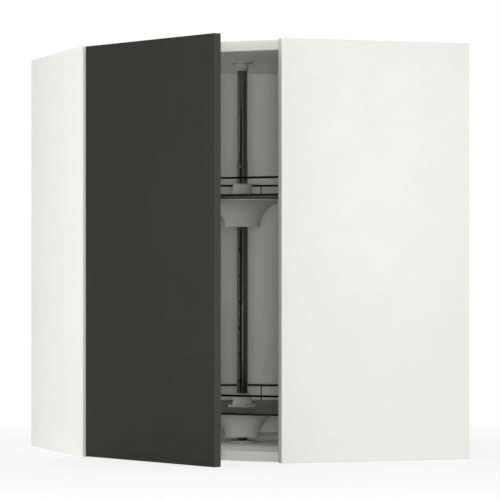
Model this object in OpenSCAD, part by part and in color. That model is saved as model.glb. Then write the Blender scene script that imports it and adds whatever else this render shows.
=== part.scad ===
// Corner carousel cabinet: a wall cabinet for a room corner, with a diagonal door and two turning trays.
// Millimetres, +Z up. The origin is the corner where the two walls meet, level with the cabinet's underside.
// One wall is the plane y = 0 and the other x = 0, so the cabinet lies at negative x and y and its
// diagonal front faces (-1, -1). The door is drawn ajar, and the trays stand with their straight side
// towards it.

/* [Cabinet] */
// Length of the cabinet along each wall
cab_w = 687; // [680:1:700]
// Depth of each side panel, from its wall to its front edge
side_d = 385; // [378:1:390]
// Height of the cabinet
cab_h = 800; // [720:1:900]
// Thickness of the side, top and bottom boards
board_t = 19; // [18:0.5:22]
// How far the top and bottom boards' front edges lie behind the line through the sides' front corners
front_set = 17; // [15:0.5:20]

/* [Back panels] */
// Gap between a wall and the back panel in front of it
back_gap = 20; // [15:1:25]
// Thickness of the back panels
back_t = 4; // [3:0.5:6]
// Depth of the grooves that hold the back panels
groove_d = 7; // [5:0.5:9]
// Play of a back panel in its groove, on each side
groove_play = 0.2; // [0.1:0.05:0.3]
// Leg of the profile that covers the joint of the two back panels
profile_leg = 20; // [12:1:30]
// Thickness of that profile
profile_t = 1.5; // [1:0.1:3]

/* [Board joints] */
// Diameter of the wooden dowels
dowel_d = 8; // [6:1:10]
// Length of the wooden dowels
dowel_l = 30; // [25:1:35]
// How deep a dowel sits in the side panel
dowel_in_side = 12; // [10:1:14]
// Distance of the rear dowel from the wall
dowel_rear_y = 70; // [60:5:90]
// Distance of the front dowel from the wall
dowel_front_y = 310; // [280:5:330]
// Distance of the cam joint from the wall
cam_y = 190; // [150:5:230]
// Diameter of the cam locks
cam_d = 15; // [12:1:18]
// Height of the cam locks
cam_h = 12.5; // [12:0.5:14]
// Distance of a cam lock's centre from the end of its board
cam_in = 34; // [26:1:40]
// Diameter of the cam bolts
cam_bolt_d = 7; // [6:0.5:7.5]
// How deep a cam bolt is screwed into the side panel
cam_bolt_in_side = 11; // [9:1:13]
// Clearance round dowels, cam bolts, cam locks and screws
hole_play = 0.1; // [0.05:0.05:0.2]

/* [Door] */
// Gap between the closed door and each side panel's front corner, along the door
door_side_gap = 1.6; // [1.3:0.1:3]
// Gap between the door's ends and the cabinet's top and underside
door_end_gap = 1.5; // [1:0.5:4]
// Thickness of the door
door_t = 16; // [15:0.5:18]
// Gap between the closed door's back and the front edges of the top and bottom boards
door_back_gap = 2; // [1.8:0.1:3]
// How far the door is open as drawn, in degrees from closed
rest_open = 24.7; // [20:0.1:40]
// Diameter of the door's bumpers
bumper_d = 8; // [6:1:12]
// Clearance between the bumpers and the boards when the door is closed
bumper_gap = 0.3; // [0.2:0.1:0.6]
// Distance of the bumpers from the door's free edge
bumper_in = 14; // [8:1:30]

/* [Hinges] */
// Height of each hinge above the cabinet's underside, or below its top
hinge_end = 50; // [46:1:54]
// Distance of the arm's pivot from the side panel's inner face
arm_pivot_in = 46; // [45:0.5:47]
// Distance of the arm's pivot behind the side panel's front edge
arm_pivot_back = 10; // [9.5:0.5:10.5]
// Middle pivot with the door closed, along the door from its hinged edge
mid_pivot_along = 65; // [64.5:0.5:66]
// Middle pivot with the door closed, behind the door's front
mid_pivot_deep = 32; // [31.5:0.5:33]
// Cup pivot along the door from its hinged edge
cup_pivot_along = 18.5; // [18:0.5:19]
// Cup pivot behind the door's front
cup_pivot_deep = 12.7; // [12:0.1:13]
// How far the inner links turn back for each degree of opening
inner_turn = 0.45; // [0.44:0.01:0.46]
// Diameter of the hinge cups
cup_d = 35; // [34:0.5:36]
// Distance of a cup's centre from the door's hinged edge
cup_along = 20.5; // [20:0.5:21.5]
// Depth of the hinge cups
cup_deep = 11; // [10.5:0.1:11.2]
// Wall of the hinge cups
cup_wall = 1; // [0.8:0.1:1.2]
// Thickness of the flange round each cup
flange_t = 0.6; // [0.5:0.1:0.8]
// Width of that flange beyond the cup
flange_w = 2; // [1.5:0.5:3]
// Distance between a cup's two screws
cup_screw_gap = 48; // [45:1:52]
// Width of the strip that takes the cup's screws
cup_strip_w = 13; // [11:1:18]
// Diameter of the hinge pins
pin_d = 2; // [1.8:0.1:2.2]
// Running clearance of a hinge pin in its eye, on the radius
pin_play = 0.05; // [0.02:0.01:0.08]
// Diameter of the links' and arms' eyes
eye_d = 4.9; // [4.5:0.1:5]
// Width of the links between their eyes
link_w = 4.4; // [4:0.1:4.4]
// Thickness of the outer link's plate
link_t = 3; // [2.5:0.1:3.2]
// Thickness of each cheek of the inner links, the arms and the cup's ears
cheek_t = 2; // [1.8:0.1:2.2]
// Side clearance between hinge plates that turn past each other
plate_gap = 0.4; // [0.3:0.05:0.5]
// Distance of the mounting plate's screws from the side panel's front edge
plate_setback = 37; // [34:1:42]
// Distance between the mounting plate's two screws
plate_screw_gap = 32; // [30:1:36]
// Width and height of the mounting plate
plate_size = [30, 46]; // [20:1:50]
// Thickness of the mounting plate
plate_t = 3; // [2:0.5:4]
// Length, height and stand-off of the arm's foot on its plate
foot_size = [26, 14, 9]; // [6:1:30]
// Width of the arm between its foot and its cheeks
arm_w = 8; // [6:0.5:9]
// Length of the arm's narrow cheeks before its pivot
arm_cheek_l = 9; // [7:0.5:12]
// Width of the two ears in the cup
cup_ear_w = 6.4; // [5:0.2:7]

/* [Carousel] */
// How far the post stands from the middle of the cabinet's inside, towards the corner
post_set = 3.5; // [2:0.5:5]
// Distance between a tray's round edge and the back panels
tray_wall_gap = 16.5; // [15:0.5:22]
// Distance between a tray's straight edge and the closed door
tray_door_gap = 16.2; // [12:0.1:20]
// Height of the lower tray's top above the cabinet's underside
lower_tray_z = 90; // [88:1:95]
// Thickness of the tray's plate
tray_t = 2.6; // [2:0.1:3.5]
// Height of the tray's edge
tray_edge_h = 4.2; // [3.8:0.1:8]
// Width of the tray's edge
tray_edge_w = 3; // [2:0.5:5]
// Radius of the tray's two front corners
tray_corner_r = 25; // [15:1:40]
// Distance from a tray's edge to the middle of the rail's wire
rail_inset = 25.5; // [15:0.5:40]
// Diameter of the rail's wire
rail_d = 4; // [3:0.5:6]
// Radius of the two bends at the ends of the rail's straight side
rail_bend_r = 21; // [12:1:30]
// How much the wire swells in those bends, on the diameter
rail_bend_swell = 0.4; // [0.3:0.1:0.6]
// Height of the rail's wire above the tray
rail_h = 32; // [20:0.5:60]
// Diameter of the wire posts that carry the rail
rail_post_d = 2; // [1.5:0.5:3]
// Angle between neighbouring wire posts on the round side
rail_post_step = 34.8; // [30:0.1:36]
// Number of wire posts on the round side
rail_post_n = 8; // [4:2:8]
// Distance between the two wire posts on the straight side
rail_post_gap = 80; // [60:10:300]

/* [Post] */
// Outer diameter of the lower tube
post_d = 22; // [20:0.5:25]
// Wall of both tubes
post_wall = 0.9; // [0.8:0.1:1.5]
// Clearance between the two tubes, on the radius
tube_play = 0.1; // [0.05:0.05:0.3]
// Height of the joint between the two tubes
post_joint_z = 584; // [575:1:650]
// How far the upper tube reaches down into the lower one
post_overlap = 140; // [80:5:200]
// Distance between the holes in the lower tube
hole_pitch = 52.4; // [50:0.1:55]
// Diameter of those holes
post_hole_d = 5.2; // [4.5:0.1:6]
// Holes between the lower and the upper tray's pins
tray_holes_apart = 8; // [7:1:8]
// Distance of the clamp screw below the joint
clamp_below = 13; // [10:1:20]

/* [Hubs] */
// Running clearance of a hub on the post, on the radius
hub_play = 0.08; // [0.02:0.01:0.1]
// Distance from the tray's top down to the hub's lower end
hub_drop = 59.5; // [58:0.5:62]
// Radius of the hub's trumpet at its lower end
trumpet_foot_r = 34.8; // [33:0.1:45]
// Radius of the trumpet where it meets its rim
trumpet_rim_r = 93; // [70:0.5:110]
// Wall of the trumpet
trumpet_wall = 2.5; // [2:0.1:3.5]
// Width of the flat rim round the trumpet
rim_w = 4; // [2:0.5:8]
// Thickness of that rim
rim_t = 1.8; // [1.5:0.1:3]
// Height of the ring under the tray that stands on the rim
tray_ring_h = 3; // [2:0.5:5]
// Width of that ring
tray_ring_w = 6; // [3:0.5:8]
// Diameter of the hub's sleeve on the post
sleeve_d = 30; // [28:1:34]
// Thickness of the hub's floor and top plate
hub_plate_t = 3; // [2.5:0.5:5]
// Diameters of the collar's flange, body and neck
collar_d = [57.4, 37.8, 26]; // [24:0.2:60]
// Heights of the collar's flange, body and neck
collar_h = [4.8, 18.7, 3.7]; // [3:0.1:20]
// Distance of the hub's screws from the post's axis
hub_screw_r = 23.8; // [23:0.2:24.5]
// Number of screws in each hub
hub_screw_n = 4; // [3:1:4]
// Length of the hub's screws inside the hub
hub_screw_in = 14; // [10:1:18]
// Diameter of the bosses that take those screws
boss_d = 9; // [7.5:0.5:9]
// Height of the support pin's axis above the hub's lower end
pin_above = 7.5; // [6:0.5:10]
// Diameter of the pin that carries each hub
support_pin_d = 5; // [4:0.5:5]
// Length of that pin
support_pin_l = 34; // [30:1:44]
// Diameter of the bearing ring that lies on the pin
bearing_d = 32; // [30:1:40]
// Thickness of the bearing ring
bearing_t = 3; // [2:0.5:4]
// Vertical clearance between pin, bearing ring and hub
bearing_play = 0.3; // [0.2:0.05:0.5]

/* [Post brackets] */
// Diameter of the ceiling bracket's flange
top_flange_d = 47; // [44:1:56]
// Thickness of that flange
top_flange_t = 3.5; // [2:0.5:4]
// Diameter of the ceiling bracket's socket and of the lock ring
socket_d = 24; // [22.6:0.1:26]
// Height of the socket below the flange
socket_h = 10.5; // [7:0.5:14]
// Height of the lock ring under the socket
lock_ring_h = 3.4; // [3:0.1:6]
// Gap between the socket and the lock ring
lock_ring_gap = 0.8; // [0.3:0.1:2]
// Diameter of the floor plate
floor_plate_d = 51; // [48:1:60]
// Thickness of the floor plate
floor_plate_t = 4; // [3:0.5:5]
// Height of the floor plate's spigot inside the post
spigot_h = 9; // [7:1:11]
// Distance of the brackets' screws from the post's axis
bracket_screw_r = 17.5; // [17:0.1:18]
// Number of screws in each of the two brackets
bracket_screw_n = 3; // [2:1:4]

/* [Wall fixing] */
// Width, depth beyond the back panel and height of the hanging brackets
bracket_size = [30, 40, 70]; // [25:1:90]
// Thickness of the hanging brackets' steel
bracket_t = 2; // [1.5:0.5:3]
// Distance of a hanging bracket's upper end below the top board
bracket_below = 12; // [8:1:40]
// Diameter of the hole for the wall screw
wall_hole_d = 8.4; // [6:0.1:10]
// Distance of a hanging bracket's screws from its front edge
bracket_screw_in = 12; // [8:1:20]
// Distance between the two screws of a hanging bracket
bracket_screw_gap = 46; // [30:1:50]

/* [Screws] */
// Diameter of the chipboard screws
screw_d = 4; // [3.5:0.1:4.2]
// Length of the chipboard screws under their head
screw_l = 14; // [12:1:15]
// Diameter of their heads
screw_head_d = 7.4; // [7:0.1:8]
// Height of their heads
screw_head_h = 1.8; // [1.5:0.1:2.2]
// Width of the cross in their heads
cross_w = 1; // [0.8:0.1:1.2]

/* [Hidden] */
$fn = 64;
eps = 0.01;
diag = sqrt(2);

// the closed door runs along one diagonal and the cabinet lies behind it along the other
along = [1, -1] / diag;
inward = [1, 1] / diag;

// a plan vector turned clockwise, as the door turns when it opens
function turn(v, a) = [cos(a) * v.x + sin(a) * v.y, cos(a) * v.y - sin(a) * v.x];
function heading(v) = atan2(v.y, v.x);

// cabinet
inner_x = board_t - cab_w;
chord_mid = (inner_x - side_d) / 2;
opening_w = (-inner_x - side_d) * diag;
front_cut = side_d - front_set * diag;
inner_h = cab_h - 2 * board_t;
groove_end_play = 0.5;
back_z = board_t - groove_d + groove_end_play;
back_h = cab_h - 2 * back_z;
back_face = back_gap + back_t;
back_end = inner_x - groove_d + groove_end_play;

// door, first closed and then ajar
door_w = opening_w - 2 * door_side_gap;
door_h = cab_h - 2 * door_end_gap;
door_front = front_set - door_back_gap - door_t;
door_shut = [chord_mid, chord_mid] - along * door_w / 2 + inward * door_front;
arm_pivot = [inner_x + arm_pivot_in, -side_d + arm_pivot_back];
mid_pivot_shut = door_shut + along * mid_pivot_along + inward * mid_pivot_deep;
cup_pivot_shut = door_shut + along * cup_pivot_along + inward * cup_pivot_deep;
outer_link = mid_pivot_shut - arm_pivot;
inner_link = cup_pivot_shut - mid_pivot_shut;
mid_pivot = arm_pivot + turn(outer_link, rest_open);
cup_pivot = mid_pivot + turn(inner_link, -inner_turn * rest_open);
door_at = cup_pivot + turn(door_shut - cup_pivot_shut, rest_open);
door_heading = heading(along) - rest_open;
outer_heading = heading(outer_link) - rest_open;
inner_heading = heading(inner_link) + inner_turn * rest_open;
hinge_z = [hinge_end, cab_h - hinge_end];

// hinge layers, counted from the hinge's middle plane
cheek_z = link_t / 2 + plate_gap;
ear_z = cheek_z + cheek_t + plate_gap;
arm_cheek_t = cheek_t + 0.5;
pin_head_d = pin_d + 1.4;
pin_head_t = 0.5;

// carousel
post_in = (back_face - inner_x) / 2 - post_set;
upper_tray_z = lower_tray_z + tray_holes_apart * hole_pitch;
tray_r = post_in - back_face - tray_wall_gap;
tray_front = (-chord_mid - post_in) * diag - front_set + door_back_gap - tray_door_gap;
rail_r = tray_r - rail_inset;
rail_front = tray_front - rail_inset;
tray_bore_play = 0.6;
tray_bore_r = post_d / 2 + tray_bore_play;
bend_past = 4;
tray_heights = [lower_tray_z, upper_tray_z];
long_arc_steps = 120;
corner_steps = 8;

// hub heights, counted from the hub's lower end
hub_top = hub_drop - tray_t;
trumpet_h = hub_top - tray_ring_h - rim_t;
bearing_above = pin_above + support_pin_d / 2 + bearing_play;
hub_floor = bearing_above + bearing_t + bearing_play;
hub_screw_hole = hub_screw_in + 2;
boss_h = hub_screw_hole + 6;
trumpet_steps = 14;
first_hole_z = lower_tray_z - hub_drop + pin_above;

// post
post_r = post_d / 2;
inner_tube_r = post_r - post_wall - tube_play;
post_foot_z = board_t + floor_plate_t;
ceiling_z = cab_h - board_t;
tube_top = ceiling_z - top_flange_t - 0.5;
socket_z = ceiling_z - top_flange_t - socket_h;
lock_ring_z = socket_z - lock_ring_gap - lock_ring_h;
clamp_z = post_joint_z - clamp_below;
clamp_screw_l = 6;
spigot_r = post_r - post_wall - tube_play;

// the way from the post to the middle of the cabinet's front
front_turn = 225;

// ---------------------------------------------------------------- helpers

// the children, and their mirror image across the cabinet's diagonal plane
module both_sides() {
    children();
    mirror([1, -1, 0]) children();
}

module at_post(z = 0) translate([-post_in, -post_in, z]) rotate([0, 0, front_turn]) children();

module at_hinges() for (z = hinge_z) translate([0, 0, z]) children();

// the door's own frame: x along the door from its hinged edge, y from its front to its back
module at_door() translate([door_at.x, door_at.y, 0]) rotate([0, 0, door_heading]) children();

module above_and_below() {
    children();
    mirror([0, 0, 1]) children();
}

// a screw along -z with its head's seat at z = 0 and a cross in its head
module screw(d, l, head_d, head_h) {
    translate([0, 0, -l]) cylinder(d = d, h = l + eps);
    difference() {
        cylinder(d = head_d, h = head_h);
        translate([0, 0, head_h / 2]) cross(head_d * 2 / 3, cross_w, head_h);
    }
}

module cross(l, w, h) for (a = [0, 90]) rotate([0, 0, a]) translate([-l / 2, -w / 2, 0]) cube([l, w, h]);

module chipboard_screw() screw(screw_d, screw_l, screw_head_d, screw_head_h);

// the hole that a screw's shank takes, from just above its seat down
module screw_hole(l = screw_l) translate([0, 0, -l - 1]) cylinder(d = screw_d + 2 * hole_play, h = l + 2);

// a flat link from the origin along +x, with an eye at each end
module link(l, z, t) translate([0, 0, z]) difference() {
    union() {
        for (x = [0, l]) translate([x, 0, 0]) cylinder(d = eye_d, h = t);
        translate([0, -link_w / 2, 0]) cube([l, link_w, t]);
    }
    for (x = [0, l]) translate([x, 0, -1]) cylinder(d = pin_d + 2 * pin_play, h = t + 2);
}

// a headed pin, centred on the hinge's middle plane
module hinge_pin(half) {
    translate([0, 0, -half]) cylinder(d = pin_d, h = 2 * half);
    above_and_below() translate([0, 0, half]) cylinder(d = pin_head_d, h = pin_head_t);
}

// points from one angle up to another on an arc round c
function arc(c, r, from, to, steps) =
    [for (i = [0 : steps]) let (a = from + i * (to - from) / steps) c + r * [cos(a), sin(a)]];

// a round plate with one straight side at x = front, its two corners rounded
module d_outline(r, front, corner) {
    cx = front - corner;
    cy = sqrt(pow(r - corner, 2) - pow(cx, 2));
    bend = heading([cx, cy]);
    long_arc = arc([0, 0], r, bend, 360 - bend, long_arc_steps);
    polygon(concat(arc([cx, cy], corner, 0, bend, corner_steps),
        [for (i = [1 : long_arc_steps - 1]) long_arc[i]],
        arc([cx, -cy], corner, -bend, 0, corner_steps)));
}

// ---------------------------------------------------------------- boards

module side_board() difference() {
    translate([-cab_w, -side_d, 0]) cube([board_t, side_d, cab_h]);
    translate([inner_x - groove_d, -back_face - groove_play, -1])
        cube([groove_d + 1, back_t + 2 * groove_play, cab_h + 2]);
    for (z = [board_t / 2, cab_h - board_t / 2]) {
        for (y = [dowel_rear_y, dowel_front_y])
            translate([inner_x - dowel_in_side - 1, -y, z]) rotate([0, 90, 0])
                cylinder(d = dowel_d + 2 * hole_play, h = dowel_in_side + 2);
        translate([inner_x - cam_bolt_in_side - 1, -cam_y, z]) rotate([0, 90, 0])
            cylinder(d = cam_bolt_d + 2 * hole_play, h = cam_bolt_in_side + 2);
    }
    at_bracket_screws() screw_hole();
}

module left_side_panel() color("white") difference() {
    side_board();
    at_hinges() at_plate_screws() screw_hole();
}

module right_side_panel() color("white") mirror([1, -1, 0]) side_board();

// a five-sided board with the joints for the side panels; cams go in from the face at z = 0
module corner_board() difference() {
    linear_extrude(board_t) polygon([[0, 0], [inner_x, 0], [inner_x, -front_cut],
        [-front_cut, inner_x], [0, inner_x]]);
    both_sides() {
        translate([back_end, -back_face - groove_play, board_t - groove_d])
            cube([-back_end - back_gap + groove_play, back_t + 2 * groove_play, groove_d + 1]);
        for (y = [dowel_rear_y, dowel_front_y])
            translate([inner_x - 1, -y, board_t / 2]) rotate([0, 90, 0])
                cylinder(d = dowel_d + 2 * hole_play, h = dowel_l - dowel_in_side + 2);
        translate([inner_x + cam_in, -cam_y, -1]) cylinder(d = cam_d + 2 * hole_play, h = cam_h + 1);
        translate([inner_x - 1, -cam_y, board_t / 2]) rotate([0, 90, 0])
            cylinder(d = cam_bolt_d + 2 * hole_play, h = cam_in);
    }
    translate([-post_in, -post_in, board_t]) at_bracket_holes() screw_hole();
}

module bottom_panel() color("white") corner_board();

module top_panel() color("white") translate([0, 0, cab_h]) mirror([0, 0, 1]) corner_board();

// one back panel along the wall y = 0, which ends at a given x
module back_board(end) difference() {
    translate([back_end, -back_face, back_z]) cube([-back_end - end, back_t, back_h]);
    at_wall_hole() cylinder(d = wall_hole_d, h = 3 * back_face, center = true);
}

module back_panel_left() color("gainsboro") back_board(back_gap);

module back_panel_right() color("gainsboro") mirror([1, -1, 0]) back_board(back_face);

module back_corner_profile() color("white") translate([-back_face, -back_face, board_t])
    linear_extrude(inner_h) polygon([[0, 0], [-profile_leg, 0], [-profile_leg, -profile_t],
        [-profile_t, -profile_t], [-profile_t, -profile_leg], [0, -profile_leg]]);

// ---------------------------------------------------------------- board joints

cam_collar_l = 8;
cam_head_l = 4;
cam_slot_w = cam_bolt_d + 0.8;

module wood_dowels() color("burlywood") both_sides()
    for (z = [board_t / 2, cab_h - board_t / 2], y = [dowel_rear_y, dowel_front_y])
        translate([inner_x - dowel_in_side, -y, z]) rotate([0, 90, 0]) cylinder(d = dowel_d, h = dowel_l);

module cam_bolts() color("silver") both_sides()
    for (z = [board_t / 2, cab_h - board_t / 2])
        translate([inner_x - cam_bolt_in_side, -cam_y, z]) rotate([0, 90, 0]) {
            cylinder(d = cam_bolt_d, h = cam_bolt_in_side + cam_collar_l);
            cylinder(d = cam_bolt_d - 2, h = cam_bolt_in_side + cam_in - cam_head_l);
            translate([0, 0, cam_bolt_in_side + cam_in - cam_head_l])
                cylinder(d = cam_bolt_d - 0.5, h = cam_head_l);
        }

// the lock's face lies at z = 0, and its slot takes the bolt's head
module cam_lock() difference() {
    cylinder(d = cam_d, h = cam_h);
    translate([-cam_d, -cam_slot_w / 2, (board_t - cam_slot_w) / 2])
        cube([cam_d + 1, cam_slot_w, cam_slot_w]);
    translate([0, 0, -cross_w]) cross(cam_d / 2, cross_w, 2.5 * cross_w);
}

module cam_locks() color("darkgray") both_sides() translate([inner_x + cam_in, -cam_y, 0]) {
    cam_lock();
    translate([0, 0, cab_h]) mirror([0, 0, 1]) cam_lock();
}

// ---------------------------------------------------------------- wall fixing

bracket_z = cab_h - board_t - bracket_below - bracket_size.z;
wall_hole_at = [inner_x + bracket_size.x / 2 + bracket_t / 2, bracket_z + bracket_size.z / 2];

module at_wall_hole() translate([wall_hole_at.x, 0, wall_hole_at.y]) rotate([90, 0, 0]) children();

module at_bracket_screws() for (z = [-1, 1] * bracket_screw_gap / 2)
    translate([inner_x + bracket_t, -back_face - bracket_size.y + bracket_screw_in, wall_hole_at.y + z])
        rotate([0, 90, 0]) children();

// a block that fills the gap between the wall and the back panel
module wall_blocks() color("burlywood") both_sides() difference() {
    translate([inner_x, -back_gap, bracket_z]) cube([bracket_size.x, back_gap, bracket_size.z]);
    at_wall_hole() cylinder(d = wall_hole_d, h = 3 * back_gap, center = true);
}

module hanging_brackets() color("silver") both_sides() difference() {
    translate([inner_x, -back_face, bracket_z]) linear_extrude(bracket_size.z)
        polygon([[0, 0], [bracket_size.x, 0], [bracket_size.x, -bracket_t], [bracket_t, -bracket_t],
            [bracket_t, -bracket_size.y], [0, -bracket_size.y]]);
    at_wall_hole() cylinder(d = wall_hole_d, h = 3 * back_face, center = true);
    at_bracket_screws() screw_hole();
}

module hanging_bracket_screws() color("silver") both_sides() at_bracket_screws() chipboard_screw();

// ---------------------------------------------------------------- door

module door_panel() color("#35393b") at_door() difference() {
    translate([0, 0, door_end_gap]) cube([door_w, door_t, door_h]);
    at_hinges() {
        translate([cup_along, door_t + 1, 0]) rotate([90, 0, 0])
            cylinder(d = cup_d + 2 * hole_play, h = cup_deep + 1 + hole_play);
        at_cup_screws() screw_hole(cup_screw_l);
    }
}

module door_bumpers() color("gainsboro") at_door()
    for (z = [board_t / 2, cab_h - board_t / 2])
        translate([door_w - bumper_in, door_t + door_back_gap - bumper_gap, z]) rotate([90, 0, 0])
            cylinder(d = bumper_d, h = door_back_gap - bumper_gap);

// ---------------------------------------------------------------- hinges

cup_screw_l = 10;
cup_strip_l = cup_screw_gap + 12;
cup_ear_low = 0.4;
bridge_l = 10;
bridge_w = link_w - 0.4;

module at_plate_screws() for (z = [-1, 1] * plate_screw_gap / 2)
    translate([inner_x + plate_t, -side_d + plate_setback, z]) rotate([0, 90, 0]) children();

module at_cup_screws() for (z = [-1, 1] * cup_screw_gap / 2)
    translate([cup_along, door_t + flange_t, z]) rotate([-90, 0, 0]) children();

module hinge_plates() color("silver") at_hinges() difference() {
    translate([inner_x, -side_d + plate_setback - plate_size.x / 2, -plate_size.y / 2])
        cube([plate_t, plate_size.x, plate_size.y]);
    at_plate_screws() screw_hole();
    at_arm_screw() screw_hole();
}

module hinge_plate_screws() color("silver") at_hinges() at_plate_screws() chipboard_screw();

// the arm's foot lies on the plate, and its two cheeks reach out to the arm's pivot
arm_root = [inner_x + plate_t + foot_size.z / 2, -side_d + plate_setback - foot_size.x / 4];
arm_l = norm(arm_pivot - arm_root);

module at_arm_screw()
    translate([inner_x + plate_t + foot_size.z, -side_d + plate_setback + foot_size.x / 4, 0])
        rotate([0, 90, 0]) children();

module hinge_arms() color("silver") at_hinges() {
    difference() {
        translate([inner_x + plate_t, -side_d + plate_setback - foot_size.x / 2, -foot_size.y / 2])
            cube([foot_size.z, foot_size.x, foot_size.y]);
        at_arm_screw() screw_hole();
    }
    translate([arm_root.x, arm_root.y, 0]) rotate([0, 0, heading(arm_pivot - arm_root)]) {
        translate([0, -arm_w / 2, -cheek_z - arm_cheek_t])
            cube([arm_l - arm_cheek_l, arm_w, 2 * (cheek_z + arm_cheek_t)]);
        above_and_below() translate([0, 0, cheek_z]) difference() {
            union() {
                translate([arm_l / 2, -eye_d / 2, 0]) cube([arm_l / 2, eye_d, arm_cheek_t]);
                translate([arm_l, 0, 0]) cylinder(d = eye_d + 1, h = arm_cheek_t);
            }
            translate([arm_l, 0, -1]) cylinder(d = pin_d + 2 * pin_play, h = arm_cheek_t + 2);
        }
    }
}

module hinge_arm_screws() color("silver") at_hinges() at_arm_screw()
    screw(screw_d, foot_size.z + plate_t - 0.5, screw_head_d, screw_head_h);

module hinge_arm_pins() color("dimgray") at_hinges() translate([arm_pivot.x, arm_pivot.y, 0])
    hinge_pin(cheek_z + arm_cheek_t);

module hinge_outer_links() color("silver") at_hinges()
    translate([arm_pivot.x, arm_pivot.y, 0]) rotate([0, 0, outer_heading])
        link(norm(outer_link), -link_t / 2, link_t);

module hinge_middle_pins() color("dimgray") at_hinges() translate([mid_pivot.x, mid_pivot.y, 0])
    hinge_pin(cheek_z + cheek_t);

module hinge_inner_links() color("silver") at_hinges()
    translate([mid_pivot.x, mid_pivot.y, 0]) rotate([0, 0, inner_heading]) {
        above_and_below() link(norm(inner_link), cheek_z, cheek_t);
        translate([(norm(inner_link) - bridge_l) / 2, -bridge_w / 2, -cheek_z - cheek_t / 2])
            cube([bridge_l, bridge_w, 2 * cheek_z + cheek_t]);
    }

// the cup sinks into the door's back, and two ears in it carry the cup pin
module hinge_cups() color("silver") at_door() at_hinges() {
    difference() {
        union() {
            translate([cup_along, door_t + flange_t, 0]) rotate([90, 0, 0])
                cylinder(d = cup_d + 2 * flange_w, h = flange_t);
            translate([cup_along, door_t + eps, 0]) rotate([90, 0, 0]) cylinder(d = cup_d, h = cup_deep);
            translate([cup_along - cup_strip_w / 2, door_t, -cup_strip_l / 2])
                cube([cup_strip_w, flange_t, cup_strip_l]);
        }
        translate([cup_along, door_t + 1, 0]) rotate([90, 0, 0])
            cylinder(d = cup_d - 2 * cup_wall, h = cup_deep - cup_wall + 1);
        at_cup_screws() screw_hole(flange_t);
    }
    difference() {
        above_and_below()
            translate([cup_pivot_along - cup_ear_w / 2, door_t - cup_deep + cup_wall / 2, ear_z])
                cube([cup_ear_w, cup_deep - cup_wall / 2 - cup_ear_low, cheek_t]);
        translate([cup_pivot_along, cup_pivot_deep, 0])
            cylinder(d = pin_d + 2 * pin_play, h = 3 * ear_z, center = true);
    }
}

module hinge_cup_pins() color("dimgray") at_door() at_hinges()
    translate([cup_pivot_along, cup_pivot_deep, 0]) hinge_pin(ear_z + cheek_t);

module hinge_cup_screws() color("silver") at_door() at_hinges() at_cup_screws()
    screw(screw_d, cup_screw_l, screw_head_d, screw_head_h);

// ---------------------------------------------------------------- post

module ring(r_out, r_in, h) difference() {
    cylinder(r = r_out, h = h);
    translate([0, 0, -1]) cylinder(r = r_in, h = h + 2);
}

// screw places of the ceiling bracket and the floor plate, with the seat at z = 0
module at_bracket_holes() for (i = [0 : bracket_screw_n - 1])
    rotate([0, 0, front_turn + (i + 0.5) * 360 / bracket_screw_n])
        translate([bracket_screw_r, 0, 0]) children();

module ceiling_bracket() color("#55585a") translate([-post_in, -post_in, 0]) difference() {
    union() {
        translate([0, 0, ceiling_z - top_flange_t]) cylinder(d = top_flange_d, h = top_flange_t);
        translate([0, 0, socket_z]) cylinder(d = socket_d, h = socket_h + eps);
    }
    translate([0, 0, socket_z - 1]) cylinder(r = inner_tube_r + tube_play, h = tube_top - socket_z + 1.2);
    translate([0, 0, ceiling_z]) at_bracket_holes() screw_hole(top_flange_t);
}

module ceiling_lock_ring() color("#55585a") translate([-post_in, -post_in, lock_ring_z])
    ring(socket_d / 2, inner_tube_r + tube_play, lock_ring_h);

module floor_plate() color("#55585a") translate([-post_in, -post_in, board_t]) difference() {
    union() {
        cylinder(d = floor_plate_d, h = floor_plate_t);
        cylinder(r = spigot_r, h = floor_plate_t + spigot_h);
    }
    translate([0, 0, floor_plate_t]) at_bracket_holes() screw_hole(floor_plate_t);
}

module bracket_screws() color("silver") translate([-post_in, -post_in, 0]) {
    translate([0, 0, board_t + floor_plate_t]) at_bracket_holes() chipboard_screw();
    translate([0, 0, ceiling_z - top_flange_t]) mirror([0, 0, 1]) at_bracket_holes() chipboard_screw();
}

// the row of pin holes through both tubes, and the hole for the clamp screw
module post_holes() {
    for (z = [first_hole_z : hole_pitch : clamp_z - hole_pitch / 2])
        translate([0, 0, z]) rotate([0, 90, 0]) cylinder(d = post_hole_d, h = 2 * post_d, center = true);
    translate([0, 0, clamp_z]) rotate([0, 90, 0]) cylinder(d = screw_d + 2 * hole_play, h = post_d);
}

module lower_post_tube() color("#2b2d2e") at_post() difference() {
    translate([0, 0, post_foot_z]) ring(post_r, post_r - post_wall, post_joint_z - post_foot_z);
    post_holes();
}

module upper_post_tube() color("#2b2d2e") at_post() difference() {
    translate([0, 0, post_joint_z - post_overlap])
        ring(inner_tube_r, inner_tube_r - post_wall, tube_top - post_joint_z + post_overlap);
    post_holes();
}

module post_clamp_screw() color("silver") at_post(clamp_z)
    translate([post_r + hole_play, 0, 0]) rotate([0, 90, 0])
        screw(screw_d, clamp_screw_l, screw_head_d * 0.75, screw_head_h * 0.75);

// ---------------------------------------------------------------- trays

module tray_support_pins() color("silver") for (z = tray_heights) at_post(z - hub_drop + pin_above)
    rotate([0, 90, 0]) cylinder(d = support_pin_d, h = support_pin_l, center = true);

module tray_bearing_rings() color("ivory") for (z = tray_heights) at_post(z - hub_drop + bearing_above)
    ring(bearing_d / 2, post_r + hub_play, bearing_t);

// places of the wire posts, in the frame whose x axis points to the straight side
module at_rail_posts() {
    for (i = [0 : rail_post_n - 1]) rotate([0, 0, 180 + (i - (rail_post_n - 1) / 2) * rail_post_step])
        translate([rail_r, 0, 0]) children();
    for (s = [-1, 1]) translate([rail_front, s * rail_post_gap / 2, 0]) children();
}

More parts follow.
